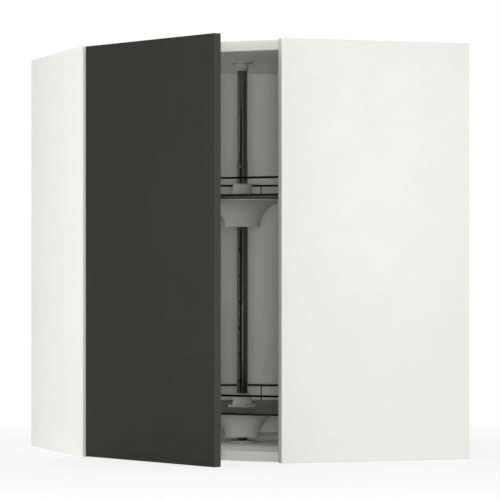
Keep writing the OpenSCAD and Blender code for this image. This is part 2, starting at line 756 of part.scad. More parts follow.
module at_hub_screws() for (i = [0 : hub_screw_n - 1]) rotate([0, 0, (i + 0.5) * 360 / hub_screw_n])
    translate([hub_screw_r, 0, 0]) children();

module tray(z) color("#4b4e50") at_post(z) difference() {
    translate([0, 0, -tray_edge_h]) linear_extrude(tray_edge_h) d_outline(tray_r, tray_front, tray_corner_r);
    translate([0, 0, -tray_edge_h - 1]) linear_extrude(tray_edge_h - tray_t + 1)
        d_outline(tray_r - tray_edge_w, tray_front - tray_edge_w, tray_corner_r - tray_edge_w);
    cylinder(r = tray_bore_r, h = 4 * tray_edge_h, center = true);
    at_rail_posts() cylinder(d = rail_post_d + 2 * hole_play, h = 4 * tray_edge_h, center = true);
    at_hub_screws() cylinder(d = screw_d + 2 * hole_play, h = 4 * tray_edge_h, center = true);
}

// the tray with the ring under it that stands on its hub's rim
module tray_on_ring(z) {
    tray(z);
    ring_r = trumpet_rim_r + rim_w / 2;
    color("#4b4e50") at_post(z - tray_t - tray_ring_h)
        ring(ring_r, ring_r - tray_ring_w, tray_ring_h + eps);
}

module rail_arc(r, d, from, to) rotate([0, 0, from]) rotate_extrude(angle = to - from)
    translate([r, 0]) circle(d = d);

// the rail is one closed wire: a long arc, two bends and a straight front. The wire swells a little in
// the bends, which reach past their ends and over the straight and the long arc.
module rail(z) color("#1f2122") at_post(z) {
    cx = rail_front - rail_bend_r;
    cy = sqrt(pow(rail_r - rail_bend_r, 2) - pow(cx, 2));
    bend = heading([cx, cy]);
    translate([0, 0, rail_h]) {
        rail_arc(rail_r, rail_d, bend, 360 - bend);
        for (flip = [0, 1]) mirror([0, flip, 0]) translate([cx, cy, 0])
            rail_arc(rail_bend_r, rail_d + rail_bend_swell, -bend_past, bend + bend_past);
        translate([rail_front, -cy, 0]) rotate([-90, 0, 0]) cylinder(d = rail_d, h = 2 * cy);
    }
}

// the wire posts stand in the tray's holes and are welded to the rail's underside
module rail_posts(z) color("#1f2122") at_post(z) at_rail_posts() translate([0, 0, -tray_t])
    cylinder(d = rail_post_d, h = tray_t + rail_h - sqrt(rail_d * rail_d - rail_post_d * rail_post_d) / 2);

// The trumpet flares in a quarter of an ellipse round a point below its rim. Its wall lies outside that
// ellipse, so a point of either face is found from its distance to the ellipse and the angle.
function trumpet_point(out, a) = [trumpet_rim_r - (trumpet_rim_r - trumpet_foot_r + out) * cos(a),
    (trumpet_h + out) * sin(a)];

// radius of the trumpet's outside at a height above the hub's lower end
function trumpet(h) = trumpet_point(0, asin(h / trumpet_h)).x;

// the shell and its rim; the inner face ends at the rim's top
module trumpet_shell() {
    wall_end = asin((trumpet_h + rim_t) / (trumpet_h + trumpet_wall));
    rotate_extrude() polygon(concat(
        [for (i = [0 : trumpet_steps]) trumpet_point(0, i * 90 / trumpet_steps)],
        [for (y = [0, rim_t]) [trumpet_rim_r + rim_w, trumpet_h + y]],
        [for (i = [trumpet_steps : -1 : 0]) trumpet_point(trumpet_wall, i * wall_end / trumpet_steps)]));
}

// the trumpet is hollow; a floor, a sleeve on the post and a top plate stiffen it
module hub(z) color("#c9cbcc") at_post(z - hub_drop) difference() {
    union() {
        trumpet_shell();
        translate([0, 0, hub_floor]) cylinder(r = trumpet(hub_floor) - trumpet_wall / 2, h = hub_plate_t);
        translate([0, 0, hub_floor]) cylinder(d = sleeve_d, h = hub_top - hub_floor);
        translate([0, 0, hub_top - hub_plate_t]) cylinder(d = collar_d[0], h = hub_plate_t);
        at_hub_screws() translate([0, 0, hub_top - boss_h]) cylinder(d = boss_d, h = boss_h);
    }
    cylinder(r = post_r + hub_play, h = 3 * hub_top, center = true);
    translate([0, 0, hub_top]) at_hub_screws() screw_hole(hub_screw_hole);
}

module collar(z) color("#7f8284") at_post(z) difference() {
    union() {
        cylinder(d = collar_d[0], h = collar_h[0]);
        cylinder(d = collar_d[1], h = collar_h[0] + collar_h[1]);
        cylinder(d = collar_d[2], h = collar_h[0] + collar_h[1] + collar_h[2]);
    }
    cylinder(r = post_r + hub_play, h = 3 * (collar_h[0] + collar_h[1] + collar_h[2]), center = true);
    translate([0, 0, collar_h[0]]) at_hub_screws() screw_hole(collar_h[0]);
}

module hub_screws(z) color("silver") at_post(z + collar_h[0]) at_hub_screws()
    screw(screw_d, collar_h[0] + tray_t + hub_screw_in, screw_head_d, screw_head_h);

module lower_tray() tray_on_ring(lower_tray_z);
module lower_rail() rail(lower_tray_z);
module lower_rail_posts() rail_posts(lower_tray_z);
module lower_hub() hub(lower_tray_z);
module lower_collar() collar(lower_tray_z);
module lower_hub_screws() hub_screws(lower_tray_z);
module upper_tray() tray_on_ring(upper_tray_z);
module upper_rail() rail(upper_tray_z);
module upper_rail_posts() rail_posts(upper_tray_z);
module upper_hub() hub(upper_tray_z);
module upper_collar() collar(upper_tray_z);
module upper_hub_screws() hub_screws(upper_tray_z);

left_side_panel();
right_side_panel();
top_panel();
bottom_panel();
back_panel_left();
back_panel_right();
back_corner_profile();
wood_dowels();
cam_bolts();
cam_locks();
wall_blocks();
hanging_brackets();
hanging_bracket_screws();
door_panel();
door_bumpers();
hinge_plates();
hinge_plate_screws();
hinge_arms();
hinge_arm_screws();
hinge_arm_pins();
hinge_outer_links();
hinge_middle_pins();
hinge_inner_links();
hinge_cups();
hinge_cup_pins();
hinge_cup_screws();
ceiling_bracket();
ceiling_lock_ring();
floor_plate();
bracket_screws();
lower_post_tube();
upper_post_tube();
post_clamp_screw();
tray_support_pins();
tray_bearing_rings();
lower_tray();
lower_rail();
lower_rail_posts();
lower_hub();
lower_collar();
lower_hub_screws();
upper_tray();
upper_rail();
upper_rail_posts();
upper_hub();
upper_collar();
upper_hub_screws();
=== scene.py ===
# %% [markdown]
# # A corner cabinet with two turning trays
# The real thing is a kitchen wall cabinet that fills the corner where two walls meet. A lacquered
# door closes its diagonal front, and behind it two trays turn on a steel post. This lesson dresses
# the measured model of it: every board, tube, tray and screw is modelled at the size and place that
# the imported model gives, and gets a finish that follows the real material.

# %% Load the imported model
import math

import bmesh
import bpy
from mathutils import Euler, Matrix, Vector


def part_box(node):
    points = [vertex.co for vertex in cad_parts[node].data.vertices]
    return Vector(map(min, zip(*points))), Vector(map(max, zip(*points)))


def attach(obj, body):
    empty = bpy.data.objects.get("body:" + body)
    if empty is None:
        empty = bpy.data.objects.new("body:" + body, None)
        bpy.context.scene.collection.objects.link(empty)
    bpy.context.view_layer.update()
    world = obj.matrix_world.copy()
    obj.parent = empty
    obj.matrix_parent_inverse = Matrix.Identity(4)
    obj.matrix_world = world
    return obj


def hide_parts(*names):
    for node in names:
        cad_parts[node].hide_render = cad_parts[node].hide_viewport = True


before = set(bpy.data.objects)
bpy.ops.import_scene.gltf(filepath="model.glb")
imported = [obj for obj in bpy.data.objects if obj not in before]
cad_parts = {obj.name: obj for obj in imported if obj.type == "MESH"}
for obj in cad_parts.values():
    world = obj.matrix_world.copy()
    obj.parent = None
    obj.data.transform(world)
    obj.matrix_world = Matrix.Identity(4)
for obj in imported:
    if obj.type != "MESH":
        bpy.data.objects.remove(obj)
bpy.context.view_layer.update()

# %% [markdown]
# ## The camera
# The photograph was taken with a long lens, level and a little below the middle of the cabinet, so
# that all upright edges stay upright. A fit to the cabinet's edges gave the place of the lens, its
# turn and its focal length, which is written in pixels of the picture. The picture is moved up by a
# small vertical shift instead of a tilt, because a tilt would make the uprights lean.

# %% Place the camera
MM = 0.001
CAMERA_AT = (-2178.1, -5569.6, 360.8)
CAMERA_TURN = 19.51
FOCUS_PIXELS = 2765.9
PICTURE_PIXELS = 500
HORIZON_ROW = 271.54
SENSOR = 36

camera = bpy.data.objects.new("camera", bpy.data.cameras.new("camera"))
bpy.context.scene.collection.objects.link(camera)
camera.location = Vector(CAMERA_AT) * MM
camera.rotation_euler = (math.radians(90), 0, -math.radians(CAMERA_TURN))
camera.data.sensor_width = SENSOR
camera.data.lens = FOCUS_PIXELS / PICTURE_PIXELS * SENSOR
camera.data.shift_y = (HORIZON_ROW - PICTURE_PIXELS / 2) / PICTURE_PIXELS
camera.data.clip_end = 100
bpy.context.scene.camera = camera
print("lens in mm:", round(camera.data.lens, 1))

# %% [markdown]
# ## Working by hand in code
# Each piece starts as a primitive at its real size, is shaped in edit mode, and is finished with
# modifiers that are applied at once. An operator acts on whatever is selected, so the first helper
# clears the selection and the second selects one piece. The third applies the piece's place,
# because a finished piece sits at the origin with its place in its mesh, as the nodes of the packed
# model do.

# %% Select, settle and modify
def deselect():
    if bpy.context.mode != "OBJECT":
        bpy.ops.object.mode_set(mode="OBJECT")
    bpy.ops.object.select_all(action="DESELECT")


def pick(piece, edit=False):
    deselect()
    piece.select_set(True)
    bpy.context.view_layer.objects.active = piece
    if edit:
        bpy.ops.object.mode_set(mode="EDIT")
        bpy.ops.mesh.select_mode(type="VERT")
        bpy.ops.mesh.select_all(action="SELECT")


def settle(name, piece=None):
    piece = piece or bpy.context.active_object
    pick(piece)
    bpy.ops.object.transform_apply(location=True, rotation=True, scale=True)
    piece.name = piece.data.name = name
    return piece


def modify(piece, kind, **settings):
    pick(piece)
    modifier = piece.modifiers.new(kind.lower(), kind)
    for key, value in settings.items():
        setattr(modifier, key, value)
    bpy.ops.object.modifier_apply(modifier=modifier.name)


# %% [markdown]
# ## Blocks, rods and drilling
# Boards start as a block and holes as a rod that is taken away. The edges are rounded before
# anything is drilled: a bevel is only as wide as the shortest edge allows, and the rim of a small
# hole is made of very short edges. A tool that cuts reaches a little past the piece, so that no
# thin skin is left.

# %% Block, rod, round and cut
SHARP_ANGLE = 30
PAST = 1


def block(name, low, high):
    deselect()
    low, high = Vector(low) * MM, Vector(high) * MM
    bpy.ops.mesh.primitive_cube_add(size=1, location=(low + high) / 2, scale=high - low)
    return settle(name)


def rod(start, end, diameter, sides=48):
    deselect()
    start, end = Vector(start) * MM, Vector(end) * MM
    bpy.ops.mesh.primitive_cylinder_add(vertices=sides, radius=diameter / 2 * MM,
        depth=(end - start).length, location=(start + end) / 2,
        rotation=(end - start).to_track_quat("Z", "Y").to_euler())
    return settle("rod")


def round_edges(piece, width, steps=2):
    modify(piece, "BEVEL", width=width * MM, segments=steps, limit_method="ANGLE",
        angle_limit=math.radians(SHARP_ANGLE))


def cut(piece, tools):
    for tool in tools:
        modify(piece, "BOOLEAN", operation="DIFFERENCE", solver="EXACT", object=tool)
        bpy.data.objects.remove(tool)


# %% [markdown]
# ## Colours and shader nodes
# Colours are written as they look on a screen, and the shader wants linear light, so one function
# turns the one into the other. Another adds a node with its settings and links. Every pattern reads
# object coordinates, in metres, so a pattern of a real size in millimetres gets the scale 1000 /
# size.

# %% Colour, node and material
def colour(hex_value):
    parts = [int(hex_value[i:i + 2], 16) / 255 for i in (1, 3, 5)]
    return [c / 12.92 if c <= 0.04045 else ((c + 0.055) / 1.055) ** 2.4 for c in parts] + [1]


def add(tree, kind, inputs=None, **settings):
    made = tree.nodes.new(kind)
    for key, value in settings.items():
        setattr(made, key, value)
    for key, value in (inputs or {}).items():
        if isinstance(value, bpy.types.NodeSocket):
            tree.links.new(value, made.inputs[key])
        else:
            made.inputs[key].default_value = value
    return made


def new_material(name, **surface):
    material = bpy.data.materials.new(name)
    material.use_nodes = True
    tree = material.node_tree
    shader = tree.nodes["Principled BSDF"]
    for key, value in surface.items():
        shader.inputs[key.replace("_", " ")].default_value = value
    place = add(tree, "ShaderNodeTexCoord").outputs["Object"]
    return material, tree, shader, place


def per_mm(size):
    return 1 / (size * MM)


# %% [markdown]
# ## Surfaces with a fine structure
# Nearly every surface of the cabinet is one colour with a fine structure pressed or moulded into
# it: foil on board, grained plastic, powder coat. Two noises give it. A fine one, as wide as the
# real grain, raises the surface, and a broad, weak one varies the colour and the gloss as light
# handling and the moulding do. On a few pieces light and shade are painted on the edges: a paler
# edge colour is painted light and a darker one is painted shade. The surface's own normal, compared
# with the direction that the face looks, chooses between edge and face colour: it counts as edge
# below one cosine and as face above the other.

# %% A grained surface
EDGE_BELOW = 0.6
FACE_ABOVE = 0.9


# Paints light or shade on edges: the edge colour replaces the face colour where the normal turns away
# from facing.
def painted_edge_light_and_shade(tree, face, edge, facing):
    normal = add(tree, "ShaderNodeTexCoord").outputs["Normal"]
    along = add(tree, "ShaderNodeVectorMath", {0: normal, 1: facing}, operation="DOT_PRODUCT")
    size = add(tree, "ShaderNodeMath", {0: along.outputs["Value"]}, operation="ABSOLUTE")
    on_face = add(tree, "ShaderNodeMapRange", {"Value": size.outputs[0], "From Min": EDGE_BELOW,
        "From Max": FACE_ABOVE})
    return add(tree, "ShaderNodeMix", {"Factor": on_face.outputs["Result"], "A": colour(edge),
        "B": face}, data_type="RGBA").outputs["Result"]


def grained(name, main, shade, grain, height, roughness, spread=0.06, cloud=90, edge=None,
        facing=(0, 0, 1), **surface):
    material, tree, shader, place = new_material(name, **surface)
    clouds = add(tree, "ShaderNodeTexNoise", {"Vector": place, "Scale": per_mm(cloud),
        "Detail": 3, "Roughness": 0.55}).outputs["Fac"]
    tint = add(tree, "ShaderNodeMix", {"Factor": clouds, "A": colour(main), "B": colour(shade)},
        data_type="RGBA").outputs["Result"]
    # Painted light or painted shade on the edges, where an edge colour is given.
    if edge:
        tint = painted_edge_light_and_shade(tree, tint, edge, facing)
    tree.links.new(tint, shader.inputs["Base Color"])
    fine = add(tree, "ShaderNodeTexNoise", {"Vector": place, "Scale": per_mm(grain), "Detail": 2,
        "Roughness": 0.6}).outputs["Fac"]
    gloss = add(tree, "ShaderNodeMapRange", {"Value": clouds, "From Min": 0.3, "From Max": 0.7,
        "To Min": roughness - spread / 2, "To Max": roughness + spread / 2})
    tree.links.new(gloss.outputs["Result"], shader.inputs["Roughness"])
    bump = add(tree, "ShaderNodeBump", {"Height": fine, "Strength": 1, "Distance": height * MM})
    tree.links.new(bump.outputs["Normal"], shader.inputs["Normal"])
    return material


# %% [markdown]
# ## Foil, paint and lacquer
# The boards are particleboard under melamine foil: white, nearly matt, with a fine pearl that only
# shows in grazing light. The backs are painted hardboard, duller and with the faint mottle of the
# rolled paint. The door is fibreboard in matt charcoal lacquer with very little sheen. Its edges are
# painted a paler grey than its faces, which is painted light for the light that falls on them.
# DOOR_LOOKS is the way that its face looks, as an angle from the cabinet's left side.

# %% Foil, paint and lacquer
DOOR_LOOKS = 20.3
DOOR_FACING = (-math.cos(math.radians(DOOR_LOOKS)), -math.sin(math.radians(DOOR_LOOKS)), 0)

white_foil = grained("white_melamine_foil", "#f1f1ef", "#edeeec", grain=1.2, height=0.012,
    roughness=0.5)
painted_board = grained("painted_hardboard", "#e9e9e7", "#e4e5e3", grain=2.0, height=0.02,
    roughness=0.62)
# The paler edge colour #454543 is painted light on the door's edges.
door_lacquer = grained("charcoal_door_lacquer", "#333332", "#30302f", grain=0.9, height=0.008,
    roughness=0.5, Specular_IOR_Level=0.06, edge="#454543", facing=DOOR_FACING)
print("board finishes:", len(bpy.data.materials))

# %% [markdown]
# ## Metals
# Screws and brackets are zinc-plated: grey with a soft, cloudy shine. Nickel on the hinges is
# warmer, brighter and smooth enough to mirror what is near. The post is black-chromed, a dark
# mirror that shows the inside of the cabinet as grey stripes and the back of the door as a black
# one. The wire is powder-coated, black with a satin sheen and the slight orange peel of baked
# powder, and since powder is paint it isn't a metal to the shader.

# %% Metals
zinc = grained("zinc_plate", "#c3c6c9", "#a9adb1", grain=1.5, height=0.008, roughness=0.36, spread=0.14,
    cloud=6, Metallic=1)
nickel = grained("nickel_plate", "#d2cec6", "#c3beb5", grain=0.8, height=0.003, roughness=0.22,
    spread=0.08, cloud=12, Metallic=1)
black_chrome = grained("black_chromed_steel", "#898987", "#848482", grain=3.0, height=0.003,
    roughness=0.25, spread=0.04, cloud=40, Metallic=1)
black_powder = grained("black_powder_coat", "#070707", "#0a0a0a", grain=0.8, height=0.012,
    roughness=0.45, Specular_IOR_Level=0.15)
print("finishes so far:", len(bpy.data.materials))

# %% [markdown]
# ## Plastics and rubber
# The trays are ABS with a spark-eroded grain on their flat faces. Their edge is painted nearly
# black: painted shade, for the dark that the edge shows inside the cabinet. The ring under them gets
# no painted edge. The hubs are smoother polypropylene, and collars and brackets glass-filled
# polyamide. The slip ring is painted white, a painted highlight for the line of light along the
# hub's rim. Acetal, a waxy bearing plastic, lets light spread a little inside it, and the clear
# rubber of the door's bumpers lets some of it through.

# %% Plastics and rubber
# The edge colour #171717 is painted shade on the tray's edge.
tray_plastic = grained("grained_tray_plastic", "#6c6d6c", "#666766", grain=0.7, height=0.02,
    roughness=0.5, edge="#171717")
ring_plastic = grained("grained_ring_plastic", "#6b6c6b", "#656665", grain=0.7, height=0.02,
    roughness=0.5)
hub_plastic = grained("light_hub_plastic", "#cbcbc8", "#c5c5c2", grain=0.8, height=0.01, roughness=0.4)
# The white of the slip ring is a painted highlight for the lit line along the hub's rim.
painted_highlight_white_plastic = grained("slip_ring_painted_highlight_white", "#f0f0ee", "#ebebe9", grain=0.8, height=0.006,
    roughness=0.35)
collar_plastic = grained("collar_plastic", "#c6c7c5", "#bebfbd", grain=0.7, height=0.012,
    roughness=0.42)
bracket_plastic = grained("bracket_plastic", "#b9bbbb", "#b1b3b3", grain=0.7, height=0.012,
    roughness=0.45)
acetal = grained("milky_acetal", "#e6e3da", "#dfdcd2", grain=1.0, height=0.006, roughness=0.35,
    Subsurface_Weight=0.1)
clear_rubber = grained("clear_bumper_rubber", "#dfe0dc", "#d6d8d4", grain=1.0, height=0.01,
    roughness=0.3, Transmission_Weight=0.35)
print("grained finishes:", len(bpy.data.materials))

# %% [markdown]
# ## Beech
# Dowels and the blocks behind the hanging brackets are beech: pale, warm brown with short darker
# flecks along the grain. A noise stretched along the grain gives the broad figure, and a second,
# finer one the flecks.

# %% Beech wood
beech, beech_tree, beech_shader, place = new_material("beech_wood", Roughness=0.55)
along_grain = add(beech_tree, "ShaderNodeMapping", {"Vector": place, "Scale": (1, 1, 0.12)})
figure = add(beech_tree, "ShaderNodeTexNoise", {"Vector": along_grain.outputs["Vector"],
    "Scale": per_mm(5), "Detail": 4, "Distortion": 0.4})
fleck = add(beech_tree, "ShaderNodeTexNoise", {"Vector": along_grain.outputs["Vector"],
    "Scale": per_mm(0.8), "Detail": 1})
flecks = add(beech_tree, "ShaderNodeMapRange", {"Value": fleck.outputs["Fac"], "From Min": 0.58,
    "From Max": 0.7})
wood = add(beech_tree, "ShaderNodeMix", {"Factor": figure.outputs["Fac"], "A": colour("#d9b68c"),
    "B": colour("#c69c6d")}, data_type="RGBA")
flecked = add(beech_tree, "ShaderNodeMix", {"Factor": flecks.outputs["Result"],
    "A": wood.outputs["Result"], "B": colour("#a97b4e")}, data_type="RGBA")
beech_tree.links.new(flecked.outputs["Result"], beech_shader.inputs["Base Color"])
grain_bump = add(beech_tree, "ShaderNodeBump", {"Height": fleck.outputs["Fac"], "Distance": 0.05 * MM})
beech_tree.links.new(grain_bump.outputs["Normal"], beech_shader.inputs["Normal"])
print("wood nodes:", len(beech_tree.nodes))

# %% [markdown]
# ## Handing a piece over
# A finished piece gets its finish, smooth shading that stops at real edges, the body it moves with,
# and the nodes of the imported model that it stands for.

# %% Finish a piece
SMOOTH_ANGLE = 35


def box_of(pieces):
    points = [vertex.co for piece in pieces for vertex in piece.data.vertices]
    return (Vector([min(p[i] for p in points) for i in range(3)]),
        Vector([max(p[i] for p in points) for i in range(3)]))


def deliver(piece, body, slot, finish, *nodes):
    pick(piece, edit=True)
    bpy.ops.mesh.normals_make_consistent(inside=False)
    pick(piece)
    bpy.ops.object.shade_smooth_by_angle(angle=math.radians(SMOOTH_ANGLE))
    deselect()
    piece.data.materials.clear()
    piece.data.materials.append(finish)
    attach(piece, body)
    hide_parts(*nodes)
    low, high = box_of([piece])
    node_low, node_high = box_of([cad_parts[node] for node in nodes])
    off = max(abs(x) for x in (*(low - node_low), *(high - node_high))) / MM
    print(f"{piece.name}: {len(piece.data.polygons)} faces, rides on {body}, box off by {off:.2f} mm")
    return piece


# %% [markdown]
# ## The side boards
# Each side is a 19 mm particleboard covered with white foil, its edges closed with a thin band
# whose corners are trimmed round. It is a block with rounded edges, and a groove near its rear edge
# takes the back panel. The right side is the mirror image of the left across the cabinet's
# diagonal, which only swaps x and y. Sizes are in millimetres: INNER is the inner face of a side
# board, and FRONT_CUT is where the plane of the diagonal front, set back for the door, meets that
# face.

# %% Sizes of the cabinet
CABINET_W = 687
SIDE_DEPTH = 385
CABINET_H = 800
BOARD = 19
INNER = BOARD - CABINET_W
FRONT_SET_BACK = 17
FRONT_CUT = SIDE_DEPTH - FRONT_SET_BACK * math.sqrt(2)
GROOVE = 7
BACK_GAP = 20
BACK = 4
BACK_FACE = BACK_GAP + BACK
PLAY = 0.2
EDGE_BAND_ROUND = 0.9
print("diagonal front starts at mm:", round(FRONT_CUT, 1))


def swapped(point):
    x, y, z = point
    return (y, x, z)


def swapped_block(name, low, high, swap):
    low, high = (swapped(low), swapped(high)) if swap else (low, high)
    return block(name, low, high)


# %% Side boards
for name, node, swap in (("left_side_board", "left_side_panel", False),
        ("right_side_board", "right_side_panel", True)):
    side = swapped_block(name, (-CABINET_W, -SIDE_DEPTH, 0), (INNER, 0, CABINET_H), swap)
    round_edges(side, EDGE_BAND_ROUND, steps=3)
    groove = swapped_block("groove", (INNER - GROOVE, -BACK_FACE - PLAY, -PAST),
        (INNER + PAST, -BACK_GAP + PLAY, CABINET_H + PAST), swap)
    cut(side, [groove])
    deliver(side, "cabinet", "white_board", white_foil, node)

# %% [markdown]
# ## Top and bottom boards
# Both are a square board with one corner sawn off for the diagonal front. The saw cut is a bisect
# along the front's plane that throws the outer part away and closes the cut. Two grooves take the
# back panels, and the cam locks sit in round pockets in the faces that show to nobody once the
# cabinet hangs.

# %% Top and bottom boards
CAM_AT = 190
CAM_IN = 34
CAM_D = 15.2
CAM_DEEP = 12.5


def corner_board(name, node, low, high, outer_face, inner_face):
    board = block(name, (INNER, INNER, low), (0, 0, high))
    pick(board, edit=True)
    bpy.ops.mesh.bisect(plane_co=(INNER * MM, -FRONT_CUT * MM, 0), plane_no=(-1, -1, 0),
        use_fill=True, clear_outer=True)
    round_edges(board, EDGE_BAND_ROUND / 2, steps=3)
    toward = 1 if inner_face > outer_face else -1
    tools = []
    for swap in (False, True):
        groove_low, groove_high = sorted((inner_face - toward * GROOVE, inner_face + toward * PAST))
        tools.append(swapped_block("groove", (INNER - PAST, -BACK_FACE - PLAY, groove_low),
            (-BACK_GAP + PLAY, -BACK_GAP + PLAY, groove_high), swap))
        centre = (INNER + CAM_IN, -CAM_AT)
        centre = centre[::-1] if swap else centre
        tools.append(rod((*centre, outer_face - toward * PAST),
            (*centre, outer_face + toward * CAM_DEEP), CAM_D))
    cut(board, tools)
    return deliver(board, "cabinet", "white_board", white_foil, node)


corner_board("top_board", "top_panel", CABINET_H - BOARD, CABINET_H, CABINET_H, CABINET_H - BOARD)
corner_board("bottom_board", "bottom_panel", 0, BOARD, 0, BOARD)

# %% [markdown]
# ## Small parts from the measured model
# The screws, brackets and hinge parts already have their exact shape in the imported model, but every
# edge there is razor sharp, which no pressed or cast part is. A copy of the node is merged, its
# flat faces are joined again, and its long edges get a narrow bevel that catches the light. The
# rims of small holes are left out, because their short edges would hold the bevel back: an edge is
# bevelled where it is sharp and longer than a few widths of the bevel.

# %% A softened copy of a node
MERGE_WITHIN = 0.005
FLAT_WITHIN = 0.5
BEVEL_ANGLE = 50
BEVEL_WIDTHS = 5
SCREW_BEVEL = 0.12


def softened(name, node, width, body, slot, finish):
    copy = bpy.data.objects.new(name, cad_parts[node].data.copy())
    bpy.context.scene.collection.objects.link(copy)
    copy.data.name = name
    pick(copy, edit=True)
    bpy.ops.mesh.remove_doubles(threshold=MERGE_WITHIN * MM)
    bpy.ops.mesh.dissolve_limited(angle_limit=math.radians(FLAT_WITHIN))
    bpy.ops.mesh.select_all(action="DESELECT")
    bpy.ops.mesh.select_mode(type="EDGE")
    mesh = bmesh.from_edit_mesh(copy.data)
    for edge in mesh.edges:
        sharp = edge.is_manifold and edge.calc_face_angle() > math.radians(BEVEL_ANGLE)
        edge.select = sharp and edge.calc_length() > BEVEL_WIDTHS * width * MM
    bmesh.update_edit_mesh(copy.data)
    bpy.ops.mesh.bevel(offset=width * MM, segments=2, clamp_overlap=True)
    return deliver(copy, body, slot, finish, node)


# %% [markdown]
# ## Back panels and what hangs the cabinet
# Two sheets of 4 mm hardboard slide in the grooves, and a white profile covers the corner where
# they meet. In each rear corner a bent steel bracket, screwed to the side board, is held to the
# wall through a beech block that fills the gap behind the sheet.

# %% Backs, profile, brackets and blocks
for name, node, width, finish, slot in (
        ("left_back_sheet", "back_panel_left", 0.4, painted_board, "back_board"),
        ("right_back_sheet", "back_panel_right", 0.4, painted_board, "back_board"),
        ("corner_cover_strip", "back_corner_profile", 0.35, painted_board, "back_board"),
        ("hanging_angles", "hanging_brackets", 0.4, zinc, "zinc"),
        ("hanging_angle_screws", "hanging_bracket_screws", SCREW_BEVEL, zinc, "zinc"),
        ("beech_wall_blocks", "wall_blocks", 0.6, beech, "beech"),
        ("cam_lock_bodies", "cam_locks", 0.2, zinc, "zinc")):
    softened(name, node, width, "cabinet", slot, finish)

# %% [markdown]
# ## The door
# The door is one flat 16 mm fibreboard, lacquered all round, with no handle: it is pulled at its
# edge. Its corners are sanded round before the lacquer, so each edge shows as a fine line. Two cup
# holes are bored in its back for the hinges. It is drawn in its own frame, flat against the origin,
# bored there, and then turned to where it stands ajar.

# %% Door leaf
DOOR_W = 397.02
DOOR_T = 16
DOOR_END_GAP = 1.5
DOOR_TURN = -69.7
EDGE_ROUND = 1.2
CUP_ALONG = 20.5
CUP_D = 35.2
CUP_DEEP = 11.1
CUP_SCREWS_APART = 48
CUP_SCREW_DEEP = 10.5
CUP_SCREW_D = 4.2
HINGE_FROM_END = 50
HINGE_HEIGHTS = (HINGE_FROM_END, CABINET_H - HINGE_FROM_END)

door_low, door_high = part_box("door_panel")
hinged_corner = Vector((door_low.x, door_high.y - DOOR_T * math.cos(math.radians(DOOR_TURN)) * MM, 0))
leaf = block("door_leaf", (0, 0, DOOR_END_GAP), (DOOR_W, DOOR_T, CABINET_H - DOOR_END_GAP))
round_edges(leaf, EDGE_ROUND, steps=4)
bores = [rod((CUP_ALONG, DOOR_T - CUP_DEEP, z), (CUP_ALONG, DOOR_T + PAST, z), CUP_D, sides=64)
    for z in HINGE_HEIGHTS]
cup_screws_at = [z + s for z in HINGE_HEIGHTS for s in (-CUP_SCREWS_APART / 2, CUP_SCREWS_APART / 2)]
bores += [rod((CUP_ALONG, DOOR_T - CUP_SCREW_DEEP, z), (CUP_ALONG, DOOR_T + PAST, z), CUP_SCREW_D)
    for z in cup_screws_at]
cut(leaf, bores)
leaf.location = hinged_corner
leaf.rotation_euler = (0, 0, math.radians(DOOR_TURN))
settle("door_leaf", leaf)
deliver(leaf, "door", "door_lacquer", door_lacquer, "door_panel")
print("door off its node by mm:", [round((a - b).length / MM, 3) for a, b in
    zip((door_low, door_high), (Vector(leaf.bound_box[0]), Vector(leaf.bound_box[6])))])

# %% [markdown]
# ## The hinges
# Concealed hinges of this kind are stamped and nickel-plated: a cup sunk in the door, two pairs of
# links, and an arm on a zinc mounting plate. Each part is a copy of its node with softened edges,
# and moves with the body that the node belongs to.

# %% Hinge parts
for name, node, width, body, finish, slot in (
        ("mounting_plates", "hinge_plates", 0.5, "cabinet", zinc, "zinc"),
        ("mounting_plate_screws", "hinge_plate_screws", SCREW_BEVEL, "cabinet", zinc, "zinc"),
        ("nickel_hinge_arms", "hinge_arms", 0.35, "cabinet", nickel, "nickel"),
        ("nickel_arm_screws", "hinge_arm_screws", SCREW_BEVEL, "cabinet", zinc, "zinc"),
        ("nickel_outer_links", "hinge_outer_links", 0.25, "hinge_outer_links", nickel, "nickel"),
        ("nickel_inner_links", "hinge_inner_links", 0.2, "hinge_inner_links", nickel, "nickel"),
        ("nickel_cups", "hinge_cups", 0.15, "door", nickel, "nickel"),
        ("cup_screws", "hinge_cup_screws", SCREW_BEVEL, "door", zinc, "zinc")):
    softened(name, node, width, body, slot, finish)

# %% [markdown]
# ## Turned pieces
# Post, hubs, collars and brackets are round. The way used here is the one of a potter: a circle is
# extruded from ring to ring, each time moved to the next height and scaled to the next radius,
# until the outline is back where it began. Then the rings are merged and the sharp ones rounded. An
# outline is a list of radius and height in mm. The last two helpers place a piece on the post's
# axis, with its own x pointing at the diagonal front, and give the place of a point that is
# measured from that axis.

# %% Turn an outline
SIDES = 96
RINGS_WITHIN = 0.002


def turned(name, outline, height=0, sides=SIDES, rounded=0, steps=2):
    deselect()
    (radius, low), *rest = outline
    bpy.ops.mesh.primitive_circle_add(vertices=sides, radius=radius * MM, location=(0, 0, low * MM))
    pick(bpy.context.active_object, edit=True)
    for wide, high in rest + [outline[0]]:
        bpy.ops.mesh.extrude_region_move(TRANSFORM_OT_translate={"value": (0, 0, (high - low) * MM)})
        bpy.ops.transform.resize(value=(wide / radius, wide / radius, 1),
            center_override=(0, 0, high * MM))
        radius, low = wide, high
    bpy.ops.mesh.select_all(action="SELECT")
    bpy.ops.mesh.remove_doubles(threshold=RINGS_WITHIN * MM)
    bpy.ops.mesh.normals_make_consistent(inside=False)
    piece = settle(name)
    if rounded:
        round_edges(piece, rounded, steps=steps)
    return at_post(piece, height)


POST_IN = 342.5
FRONT_TURN = 225


def at_post(piece, height=0):
    piece.location = Vector((-POST_IN, -POST_IN, height)) * MM
    piece.rotation_euler = (0, 0, math.radians(FRONT_TURN))
    return settle(piece.name, piece)


